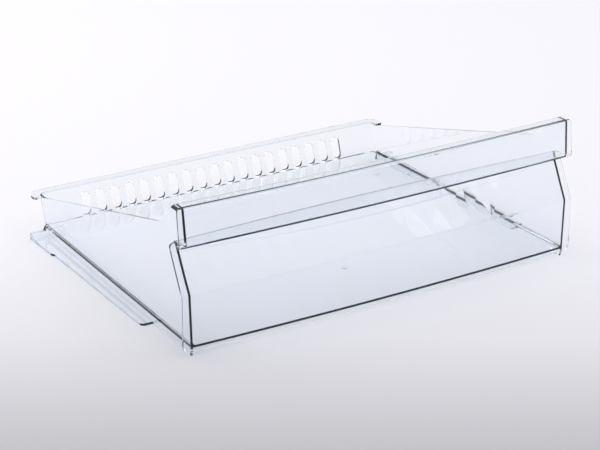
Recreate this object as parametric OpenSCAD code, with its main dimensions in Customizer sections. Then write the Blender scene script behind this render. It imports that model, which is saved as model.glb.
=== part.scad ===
// Clear freezer drawer, moulded in one piece.
// The front is one bowed wall, folded four times: an upright panel, a crease, a part that
// leans back behind the fingers, a ledge, the handle band and a lip turned back on top.
// Behind it is a low tub with sloping side walls, a slotted back wall and runner flanges.
// X is across the front, Y runs from the front to the back, Z is up.

/* [Front panel] */
// Width of the front panel and of the handle band
front_w = 450; // [380:1:520]
// Height of the panel's lower edge above the surface that the drawer stands on
panel_gap = 5; // [3:0.5:7]
// Height of the crease where the panel starts to lean back
crease_z = 62; // [50:1:75]
// Angle by which the upper part of the panel leans back
lean_angle = 27; // [22:1:32]
// How far the front bows forward at mid width
front_bow = 5; // [0:0.5:8]
// Radius of the panel's lower corners
panel_corner_r = 6; // [3:0.5:10]
// Radius of the crease, on its visible side
crease_r = 7; // [4:0.5:10]

/* [Handle] */
// Height of the underside of the ledge over the finger recess
ledge_z = 106.5; // [98:0.5:115]
// How much deeper the finger recess is at mid width than at its ends
recess_bow = 6; // [0:0.5:10]
// Radius in the top of the finger recess
recess_r = 1.5; // [0.5:0.5:3]
// Radius of the upper corners of the leaning part
recess_corner_r = 5; // [2:0.5:6]
// Set-back of the band's lower edge behind the panel
band_setback = 2.6; // [1:0.1:5]
// Angle by which the band leans back
band_lean = 5; // [1:0.5:8]
// Height of the drawer, to the top of the lip
overall_h = 146; // [138:1:160]
// Depth of the lip turned back along the top of the band
lip_d = 12; // [8:0.5:16]
// Radius of the band's edges, along its bottom and its top
band_edge_r = 3; // [2.5:0.1:4]
// Radius of the band's upper corners, seen from the front
band_corner_r = 4; // [2:0.5:8]

/* [Tub] */
// Thickness of the walls
wall_t = 2.4; // [1.8:0.1:3]
// Thickness of the floor
floor_t = 2.4; // [1.8:0.1:3]
// Height of the floor's underside
floor_z = 8.1; // [7:0.1:10]
// Distance from the front panel to the outside of the back wall, at the floor
tub_d = 335; // [280:1:400]
// How far the front panel stands past each side wall, at its foot
front_overhang = 8; // [5:0.5:12]
// Draft of the side walls, leaning outwards towards their top
side_draft = 1.2; // [0.5:0.1:2]
// Angle by which each side wall runs inwards towards the back
side_taper = 1.2; // [0.8:0.1:1.6]
// Angle by which the back wall leans outwards
back_lean = 17; // [10:1:20]
// Radius of the rear corners, outside
rear_corner_r = 9; // [6:0.5:14]
// Radius along the foot of the walls, inside
floor_edge_r = 3; // [1:0.5:5]
// Height of the back wall, to the top of its rim
rim_z = 42.4; // [40:0.2:50]

/* [Side wall edge] */
// Length of level edge between the back wall and the start of the slope
level_l = 17; // [14:1:30]
// Slope of the long upper edge
edge_slope = 15; // [13:0.5:16]
// Steepness of the rise up to the handle lip
rise_angle = 42; // [35:1:50]
// Radius between the long slope and the rise
edge_r = 60; // [30:5:70]

/* [Rim and vent slots] */
// Width of the rim turned out from the back wall
rim_w = 8.5; // [6:0.5:12]
// Thickness of the rim
rim_t = 2.4; // [1.8:0.1:3]
// How far the rim runs forward along each side wall
rim_return = 12; // [10:1:25]
// Number of vent slots
slot_n = 19; // [5:2:19]
// Distance from one slot to the next
slot_pitch = 17.55; // [15:0.05:18]
// Width of a slot
slot_w = 11; // [9:0.5:12]
// Height of a slot
slot_h = 22.5; // [18:0.5:24]
// Height of the slots' lower end above the floor
slot_lift = 0.5; // [0.3:0.1:3]
// Corner radius of a slot
slot_r = 4.5; // [2:0.5:4.5]

/* [Runners] */
// Distance between the outer edges of the runner flanges, over their front part
runner_span = 453.2; // [450:0.2:456]
// Extra width of each runner flange over its rear part
runner_step = 2.3; // [0.5:0.1:4]
// Thickness of the runner flanges
runner_t = 2.5; // [1.8:0.1:3]
// Distance from the front panel to the front end of the runners
runner_start = 80; // [50:1:110]
// Distance from the front panel to the wider rear part of the runners
runner_wide_start = 273; // [160:1:240]
// Distance from the rear end of the runners to the back wall
runner_end_gap = 7; // [4:0.5:15]
// Radius of the runners' front corners
runner_corner_r = 4; // [1:0.5:6]
// Length of the stop block on the rear end of each runner
stop_l = 6; // [3:0.5:10]
// Height of the stop block, at the outer edge of the runner
stop_h = 7.5; // [5:0.5:9]
// Height of the stop block, at the side wall
stop_root_h = 12; // [10:0.5:16]
// Distance from the stop block to the detent rib on the runner
detent_gap = 9; // [5:0.5:20]
// Height of the detent rib
detent_h = 0.9; // [0.5:0.1:2]
// Width of the detent rib
detent_w = 1.6; // [1:0.1:3]

/* [Feet and gate mark] */
// Distance from the front panel to the front feet
foot_start = 2; // [1.5:0.1:4]
// Length of a front foot
foot_l = 12; // [8:1:20]
// Gap under the side walls between the feet and the runners
skirt_gap = 2.5; // [1:0.5:4]
// Distance from the front panel to the gate mark under the floor
gate_y = 77; // [40:1:150]
// Radius of the gate mark
gate_r = 3; // [1.5:0.5:5]
// Height of the gate mark
gate_h = 0.6; // [0.3:0.1:1]

/* [Hidden] */
$fn = 48;
// Clear moulding with a blue tint
clear_blue = [0.80, 0.90, 0.97, 0.45];
// Stations along the bowed front, and points on a rounded fold
front_steps = 18;
fold_steps = 4;
// How far cutting shapes run past what they cut
past = 1;
// Reach of the leaning part and of the band, from their lower to their upper edge
lean_reach = (ledge_z - crease_z) * tan(lean_angle);
band_reach = (overall_h - ledge_z) * tan(band_lean);
lip_end = band_setback + band_reach + lip_d;
floor_top = floor_z + floor_t;
runner_end = tub_d - runner_end_gap;
rim_mid_z = rim_z - rim_t / 2;
rear_reach = back_y(rim_mid_z) + rim_w;
// The part's origin lies under the middle of its box
origin_y = (rear_reach - front_bow) / 2;

// Half width of the tub, outside, at distance y from the front panel and height z
function side_x(y, z) = front_w / 2 - front_overhang + z * tan(side_draft) - y * tan(side_taper);

// Distance of the back wall's outside from the front panel at height z
function back_y(z) = tub_d + (z - floor_z) * tan(back_lean);

// Share of the bow at x: 1 at mid width, 0 at the ends
function bow(x) = 1 - pow(2 * x / front_w, 2);

// Unit vector along v
function unit(v) = v / norm(v);

// Unit vector at a right angle to v, on its right-hand side
function right_of(v) = unit([v[1], -v[0]]);

// An open outline moved sideways by d, to its right
function beside(path, d) = [
    for (i = [0 : len(path) - 1])
        let(
            last = len(path) - 1,
            before = right_of(path[max(i, 1)] - path[max(i, 1) - 1]),
            after = right_of(path[min(i, last - 1) + 1] - path[min(i, last - 1)])
        )
        path[i] + d * (before + after) / (1 + before * after)
];

// The arc of radius r that rounds corner b between a and c
function corner_arc(a, b, c, r, steps) =
    let(
        into = unit(b - a),
        out = unit(c - b),
        turn = acos(into * out),
        centre = b + unit(out - into) * r / cos(turn / 2),
        from = unit(b - into * r * tan(turn / 2) - centre),
        to = unit(b + out * r * tan(turn / 2) - centre)
    )
    [for (k = [0 : steps])
        centre + r * (from * sin(turn * (1 - k / steps)) + to * sin(turn * k / steps)) / sin(turn)];

// An open outline with each inner corner rounded to its own radius
function rounded(path, radii, steps) = [
    path[0],
    for (i = [1 : len(path) - 2]) each corner_arc(path[i - 1], path[i], path[i + 1], radii[i - 1], steps),
    path[len(path) - 1]
];

// The same points in the opposite order
function backwards(path) = [for (i = [len(path) - 1 : -1 : 0]) path[i]];

// Where the line through p at slope_p meets the line through q at slope_q
function meet(p, slope_p, q, slope_q) =
    let(y = (q[1] - p[1] + slope_p * p[0] - slope_q * q[0]) / (slope_p - slope_q))
    [y, p[1] + slope_p * (y - p[0])];

// The visible side of the folded front at x, as [y, z] points from the foot to the lip's end
function front_face(x) =
    let(forward = -front_bow * bow(x))
    [
        [forward, panel_gap - past],
        [forward, crease_z],
        [lean_reach + recess_bow * bow(x), ledge_z],
        [band_setback + forward, ledge_z],
        [band_setback + band_reach + forward, overall_h],
        [lip_end + forward, overall_h]
    ];

// The closed section of the front at x, both sides of its wall, with rounded folds
function front_section(x) =
    let(
        seen = [crease_r, recess_r, band_edge_r, band_edge_r],
        behind = [crease_r - wall_t, recess_r + wall_t, band_edge_r - wall_t, band_edge_r - wall_t],
        least = 0.3
    )
    concat(
        rounded(front_face(x), seen, fold_steps),
        backwards(rounded(beside(front_face(x), wall_t), [for (r = behind) max(r, least)], fold_steps))
    );

// The tub's plan at height z, its walls moved inwards by inset, open towards the front
function tub_plan(z, inset, front_y) =
    let(
        rear_y = back_y(z) - inset,
        front_x = side_x(front_y, z) - inset,
        rear_x = side_x(rear_y, z) - inset,
        r = max(rear_corner_r - inset, 1)
    )
    rounded([[front_x, front_y], [rear_x, rear_y], [-rear_x, rear_y], [-front_x, front_y]], [r, r], 8);

// A solid through rings of equal length, each clockwise seen from the last one
module loft(rings) {
    m = len(rings[0]);
    last = len(rings) - 1;
    polyhedron(
        points = [for (ring = rings) each ring],
        faces = concat(
            [[for (j = [m - 1 : -1 : 0]) j]],
            [[for (j = [0 : m - 1]) last * m + j]],
            [for (i = [0 : last - 1]) for (j = [0 : m - 1]) [i * m + j, i * m + (j + 1) % m, (i + 1) * m + j]],
            [for (i = [0 : last - 1]) for (j = [0 : m - 1])
                [i * m + (j + 1) % m, (i + 1) * m + (j + 1) % m, (i + 1) * m + j]]
        )
    );
}

// Draws its children, given as a [y, z] outline, from -x to x
module across(x) {
    rotate([90, 0, 90]) translate([0, 0, -x]) linear_extrude(2 * x) children();
}

// Draws its children, given as an [x, z] outline, from y back to y + depth
module along(y, depth) {
    translate([0, y + depth, 0]) rotate([90, 0, 0]) linear_extrude(depth) children();
}

// Both halves of what is drawn on the +X side
module both_sides() {
    for (side = [0, 1]) mirror([side, 0, 0]) children();
}

// Outline of the front seen from the front, with its four rounded corners
module front_outline() {
    half = front_w / 2;
    path = [[0, panel_gap], [half, panel_gap], [half, overall_h],
        [-half, overall_h], [-half, panel_gap], [0, panel_gap]];
    polygon(rounded(path, [panel_corner_r, band_corner_r, band_corner_r, panel_corner_r], 6));
}

// The material outside the rounded upper corners of the leaning part
module recess_corner_cut() {
    half = front_w / 2;
    top = ledge_z + wall_t + past;
    along(band_setback + band_reach + wall_t + past, lean_reach + wall_t)
        polygon(concat(
            [[half + past, top]],
            rounded([[half, ledge_z - recess_corner_r], [half, ledge_z], [half - recess_corner_r, ledge_z]],
                [recess_corner_r - 0.01], 6),
            [[half - recess_corner_r, top]]
        ));
}

// Front panel, finger recess, band and lip: one folded wall, bowed in plan
module front_wall() {
    reach = front_w / 2 + past;
    xs = [for (k = [0 : front_steps]) reach * (2 * k / front_steps - 1)];
    intersection() {
        loft([for (x = xs) [for (p = front_section(x)) [x, p[0], p[1]]]]);
        along(-front_bow - past, lip_end + lean_reach + front_bow + recess_bow) front_outline();
    }
}

// Outline of the side walls, which also trims the floor and the back wall
module side_outline() {
    rear = back_y(overall_h);
    slope_start = [back_y(rim_z) - level_l, rim_z];
    lip_root = [lip_end, overall_h - wall_t / 2];
    edge_corner = meet(slope_start, -tan(edge_slope), lip_root, -tan(rise_angle));
    fold = beside(front_face(front_w / 2), wall_t / 2);
    foot_end = foot_start + foot_l;
    polygon(concat(
        [[rear, floor_z], [rear, rim_z], slope_start],
        corner_arc(slope_start, edge_corner, lip_root, edge_r, 8),
        [lip_root],
        [for (i = [4 : -1 : 1]) fold[i]],
        [[wall_t / 2, panel_gap], [foot_start, panel_gap], [foot_start, 0]],
        [[foot_end, 0], [foot_end + skirt_gap, skirt_gap]],
        [[runner_start, skirt_gap], [runner_start, 0], [runner_end, 0], [runner_end, floor_z]]
    ));
}

// A solid between the tub's plans at several levels, each given as [height, inset]
module tub_levels(levels, front_y) {
    loft([for (level = levels)
        [for (p = backwards(tub_plan(level[0], level[1], front_y))) [p[0], p[1], level[0]]]]);
}

// The tub's outer faces, as one block
module tub_block() {
    tub_levels([[-past, 0], [overall_h, 0]], 0);
}

// The space inside the tub, with the radius along the foot of the walls
module tub_space() {
    foot = [for (a = [0 : 30 : 90])
        [floor_top + floor_edge_r * (1 - cos(a)), wall_t + floor_edge_r * (1 - sin(a))]];
    tub_levels(concat(foot, [[overall_h + past, wall_t]]), -past);
}

// The space under the floor, between the skirts of the side walls
module skirt_space() {
    tub_levels([[-2 * past, wall_t], [floor_z, wall_t]], -past);
}

// Side walls, back wall and floor
module tub() {
    intersection() {
        difference() {
            tub_block();
            tub_space();
            skirt_space();
        }
        across(front_w / 2) side_outline();
    }
}

// The front strip of the floor, which follows the bowed panel
module floor_front() {
    reach = side_x(0, floor_z) - wall_t / 2;
    back = 3 * wall_t;
    translate([0, 0, floor_z]) linear_extrude(floor_t) polygon(concat(
        [for (k = [0 : front_steps])
            let(x = reach * (2 * k / front_steps - 1)) [x, wall_t / 2 - front_bow * bow(x)]],
        [[reach, back], [-reach, back]]
    ));
}

// One vent slot, centred on x = 0 with its lower end at z = 0
module slot_outline() {
    inner_w = slot_w - 2 * slot_r;
    inner_h = slot_h - 2 * slot_r;
    translate([0, slot_h / 2]) {
        square([slot_w, inner_h], center = true);
        square([inner_w, slot_h], center = true);
        for (sx = [-1, 1]) for (sz = [-1, 1]) translate([sx * inner_w / 2, sz * inner_h / 2]) circle(slot_r);
    }
}

// The row of vent slots through the back wall
module vent_slots() {
    front = back_y(floor_top) - wall_t - floor_edge_r;
    for (k = [0 : slot_n - 1])
        translate([(k - (slot_n - 1) / 2) * slot_pitch, 0, floor_top + slot_lift])
            along(front, back_y(rim_z) + past - front) slot_outline();
}

// The rim turned out from the back wall and a short way along the sides
module rim() {
    inner = tub_plan(rim_mid_z, wall_t / 2, back_y(rim_z) - rim_return);
    start = inner[0];
    end_x = side_x(start[1], rim_mid_z) + rim_w;
    rear_x = side_x(rear_reach, rim_mid_z) + rim_w;
    r = rear_corner_r + rim_w / 2;
    end_r = rim_w / 3;
    outer = [start, [end_x, start[1]], [rear_x, rear_reach],
        [-rear_x, rear_reach], [-end_x, start[1]], [-start[0], start[1]]];
    translate([0, 0, rim_z - rim_t]) linear_extrude(rim_t)
        polygon(concat(rounded(outer, [end_r, r, r, end_r], 8), backwards([for (i = [1 : len(inner) - 2]) inner[i]])));
}

// A runner flange on the +X side, with its detent rib and its stop block
module runner() {
    edge = runner_span / 2;
    wide = edge + runner_step;
    root_front = side_x(runner_start, 0) - wall_t / 2;
    root_rear = side_x(runner_end, 0) - wall_t / 2;
    detent_y = runner_end - stop_l - detent_gap;
    plan = [[root_front, runner_start], [edge, runner_start], [edge, runner_wide_start],
        [wide, runner_wide_start + 2 * runner_step], [wide, runner_end], [root_rear, runner_end]];
    linear_extrude(runner_t)
        polygon(rounded(plan, [runner_corner_r, runner_step, runner_step, 0.5], 4));
    along(detent_y, detent_w)
        polygon([[side_x(detent_y, 0) - wall_t / 2, 0], [wide, 0], [wide, runner_t + detent_h / 2],
            [wide - detent_h, runner_t + detent_h], [side_x(detent_y, 0) - wall_t / 2, runner_t + detent_h]]);
    along(runner_end - stop_l, stop_l)
        polygon([[root_rear, 0], [wide, 0], [wide, stop_h], [root_rear + 2 * wall_t, stop_h],
            [root_rear + wall_t, stop_root_h], [root_rear, stop_root_h]]);
}

// The mark that the moulding gate leaves under the floor
module gate_mark() {
    translate([0, gate_y, floor_z - gate_h]) cylinder(h = gate_h + floor_t / 2, r = gate_r);
}

module drawer() {
    color(clear_blue) translate([0, -origin_y, 0]) {
        difference() {
            union() {
                tub();
                front_wall();
                floor_front();
                rim();
            }
            vent_slots();
            both_sides() recess_corner_cut();
        }
        both_sides() runner();
        gate_mark();
    }
}

drawer();
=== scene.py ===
"""A clear, moulded freezer drawer on a pale floor: materials, floor, light and camera."""
import math

import bpy
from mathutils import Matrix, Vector

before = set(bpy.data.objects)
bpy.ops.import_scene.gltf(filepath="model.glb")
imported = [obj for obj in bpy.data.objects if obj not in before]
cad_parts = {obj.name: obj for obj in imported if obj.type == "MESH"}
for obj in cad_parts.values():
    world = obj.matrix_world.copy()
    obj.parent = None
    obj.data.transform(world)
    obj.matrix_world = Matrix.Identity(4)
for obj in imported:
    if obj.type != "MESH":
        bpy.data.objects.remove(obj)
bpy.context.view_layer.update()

# The photograph's camera, in metres and degrees. Azimuth 0 looks along +Y.
IMAGE_W = 600
FOCAL_PX = 1922.5
SENSOR_W = 36.0
AZIMUTH = -31.85
ELEVATION = 22.96
DISTANCE = 1.871
TARGET = Vector((-0.0562, -0.1043, 0.0702))


def link(obj):
    """Puts a new object into the scene."""
    bpy.context.scene.collection.objects.link(obj)
    return obj


def direction(azimuth, elevation):
    """Unit vector from the object towards a viewer at these angles, in degrees."""
    a, e = math.radians(azimuth), math.radians(elevation)
    return Vector((math.sin(a) * math.cos(e), -math.cos(a) * math.cos(e), math.sin(e)))


def aim(obj, place, at):
    """Places a camera or a lamp so that it looks at a point."""
    obj.location = place
    obj.rotation_euler = (at - place).to_track_quat("-Z", "Y").to_euler()


def add_camera():
    data = bpy.data.cameras.new("camera")
    data.sensor_width = SENSOR_W
    data.lens = FOCAL_PX / IMAGE_W * SENSOR_W
    data.clip_end = 50
    camera = link(bpy.data.objects.new("camera", data))
    aim(camera, TARGET + DISTANCE * direction(AZIMUTH, ELEVATION), TARGET)
    bpy.context.scene.camera = camera
    return camera


class Nodes:
    """Short calls for building one node tree."""

    def __init__(self, tree):
        self.tree = tree
        tree.nodes.clear()

    def add(self, kind, inputs=None, **settings):
        node = self.tree.nodes.new(kind)
        for name, value in settings.items():
            setattr(node, name, value)
        for name, value in (inputs or {}).items():
            self.feed(node.inputs[name], value)
        return node

    def feed(self, socket, value):
        if isinstance(value, bpy.types.NodeSocket):
            self.tree.links.new(value, socket)
        else:
            socket.default_value = value


def new_material(name):
    material = bpy.data.materials.new(name)
    material.use_nodes = True
    return material, Nodes(material.node_tree)


def clear_plastic():
    """Clear polystyrene: a faint blue where light runs along a wall, with fine handling scratches."""
    material, n = new_material("clear_plastic")
    place = n.add("ShaderNodeTexCoord").outputs["Object"]
    flow = n.add("ShaderNodeTexNoise", {"Vector": place, "Scale": 9.0, "Detail": 2.0})
    haze = n.add("ShaderNodeTexNoise", {"Vector": place, "Scale": 60.0, "Detail": 4.0})
    rough = n.add("ShaderNodeMapRange", {"Value": haze.outputs["Fac"], "From Min": 0.35, "From Max": 0.75,
                                         "To Min": 0.004, "To Max": 0.03})
    bump = n.add("ShaderNodeBump", {"Height": flow.outputs["Fac"], "Strength": 0.25, "Distance": 0.0006})
    surface = n.add("ShaderNodeBsdfPrincipled", {
        "Base Color": (0.985, 0.99, 1.0, 1), "Roughness": rough.outputs["Result"], "IOR": 1.59,
        "Transmission Weight": 1.0, "Normal": bump.outputs["Normal"]})
    facing = n.add("ShaderNodeLayerWeight", {"Blend": 0.3})
    shade = n.add("ShaderNodeMapRange", {"Value": facing.outputs["Facing"], "From Min": 0.2, "From Max": 1.0,
                                         "To Min": 0.96, "To Max": 0.6})
    tint = n.add("ShaderNodeCombineColor", {"Red": shade.outputs["Result"], "Green": shade.outputs["Result"],
                                            "Blue": shade.outputs["Result"]})
    lit_through = n.add("ShaderNodeBsdfTransparent", {"Color": tint.outputs["Color"]})
    path = n.add("ShaderNodeLightPath")
    mix = n.add("ShaderNodeMixShader", {0: path.outputs["Is Shadow Ray"], 1: surface.outputs["BSDF"],
                                        2: lit_through.outputs["BSDF"]})
    body = n.add("ShaderNodeVolumeAbsorption", {"Color": (0.35, 0.68, 1.0, 1), "Density": 14.0})
    n.add("ShaderNodeOutputMaterial", {"Surface": mix.outputs["Shader"], "Volume": body.outputs["Volume"]})
    return material


def floor_material():
    """Pale paper floor with painted shade: its colour darkens softly towards the viewer's side."""
    material, n = new_material("floor")
    place = n.add("ShaderNodeTexCoord").outputs["Object"]
    a = math.radians(AZIMUTH)
    away = n.add("ShaderNodeVectorMath", {0: place, 1: (-math.sin(a), math.cos(a), 0)}, operation="DOT_PRODUCT")
    # Painted shade: the floor's base colour darkens towards the viewer's side, standing in for the light
    # falling off there.
    painted_shade_ramp = n.add("ShaderNodeValToRGB")
    reach = n.add("ShaderNodeMapRange", {"Value": away.outputs["Value"], "From Min": -0.60, "From Max": 0.90})
    n.feed(painted_shade_ramp.inputs["Fac"], reach.outputs["Result"])
    painted_shade_tones = [(0.0, 0.34), (0.12, 0.50), (0.25, 0.70), (0.40, 0.80), (1.0, 0.83)]
    stops = painted_shade_ramp.color_ramp.elements
    while len(stops) < len(painted_shade_tones):
        stops.new(0.5)
    for stop, (at, tone) in zip(stops, painted_shade_tones):
        stop.position = at
        stop.color = (tone, tone * 0.985, tone * 1.03, 1)
    surface = n.add("ShaderNodeBsdfPrincipled", {
        "Base Color": painted_shade_ramp.outputs["Color"], "Roughness": 0.7, "Specular IOR Level": 0.2})
    n.add("ShaderNodeOutputMaterial", {"Surface": surface.outputs["BSDF"]})
    return material


def add_floor():
    half = 6.0
    mesh = bpy.data.meshes.new("floor")
    corners = [(-half, -half, 0), (half, -half, 0), (half, half, 0), (-half, half, 0)]
    mesh.from_pydata(corners, [], [(0, 1, 2, 3)])
    floor = link(bpy.data.objects.new("floor", mesh))
    floor.location.z = -0.0002
    mesh.materials.append(floor_material())


def add_world():
    """Bright, soft studio: light from above, dimmer towards the horizon and below it."""
    world = bpy.data.worlds.new("studio")
    bpy.context.scene.world = world
    world.use_nodes = True
    n = Nodes(world.node_tree)
    way = n.add("ShaderNodeSeparateXYZ", {"Vector": n.add("ShaderNodeTexCoord").outputs["Generated"]})
    up = n.add("ShaderNodeMapRange", {"Value": way.outputs["Z"], "From Min": 0.0, "From Max": 0.8,
                                      "To Min": 0.55, "To Max": 1.0})
    n_out = n.add("ShaderNodeBackground", {"Color": (1.0, 1.0, 1.02, 1), "Strength": up.outputs["Result"]})
    n.add("ShaderNodeOutputWorld", {"Surface": n_out.outputs["Background"]})


def add_lamp(name, azimuth, elevation, distance, size, power, colour=(1, 1, 1)):
    data = bpy.data.lights.new(name, "AREA")
    data.shape = "RECTANGLE"
    data.size, data.size_y = size
    data.energy = power
    data.color = colour
    lamp = link(bpy.data.objects.new(name, data))
    middle = Vector((0, 0, 0.06))
    aim(lamp, middle + distance * direction(azimuth, elevation), middle)


def add_light():
    add_world()
    add_lamp("key", azimuth=-150, elevation=55, distance=2.2, size=(1.6, 1.2), power=14)
    add_lamp("fill", azimuth=60, elevation=50, distance=2.4, size=(1.4, 1.4), power=6)


def set_view():
    scene = bpy.context.scene
    scene.view_settings.view_transform = "Standard"
    scene.cycles.max_bounces = 32
    scene.cycles.transmission_bounces = 32
    scene.cycles.glossy_bounces = 8
    scene.cycles.transparent_max_bounces = 48


def dress():
    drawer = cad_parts["drawer"]
    plastic = clear_plastic()
    drawer.data.materials.clear()
    drawer.data.materials.append(plastic)


add_camera()
dress()
add_floor()
add_light()
set_view()
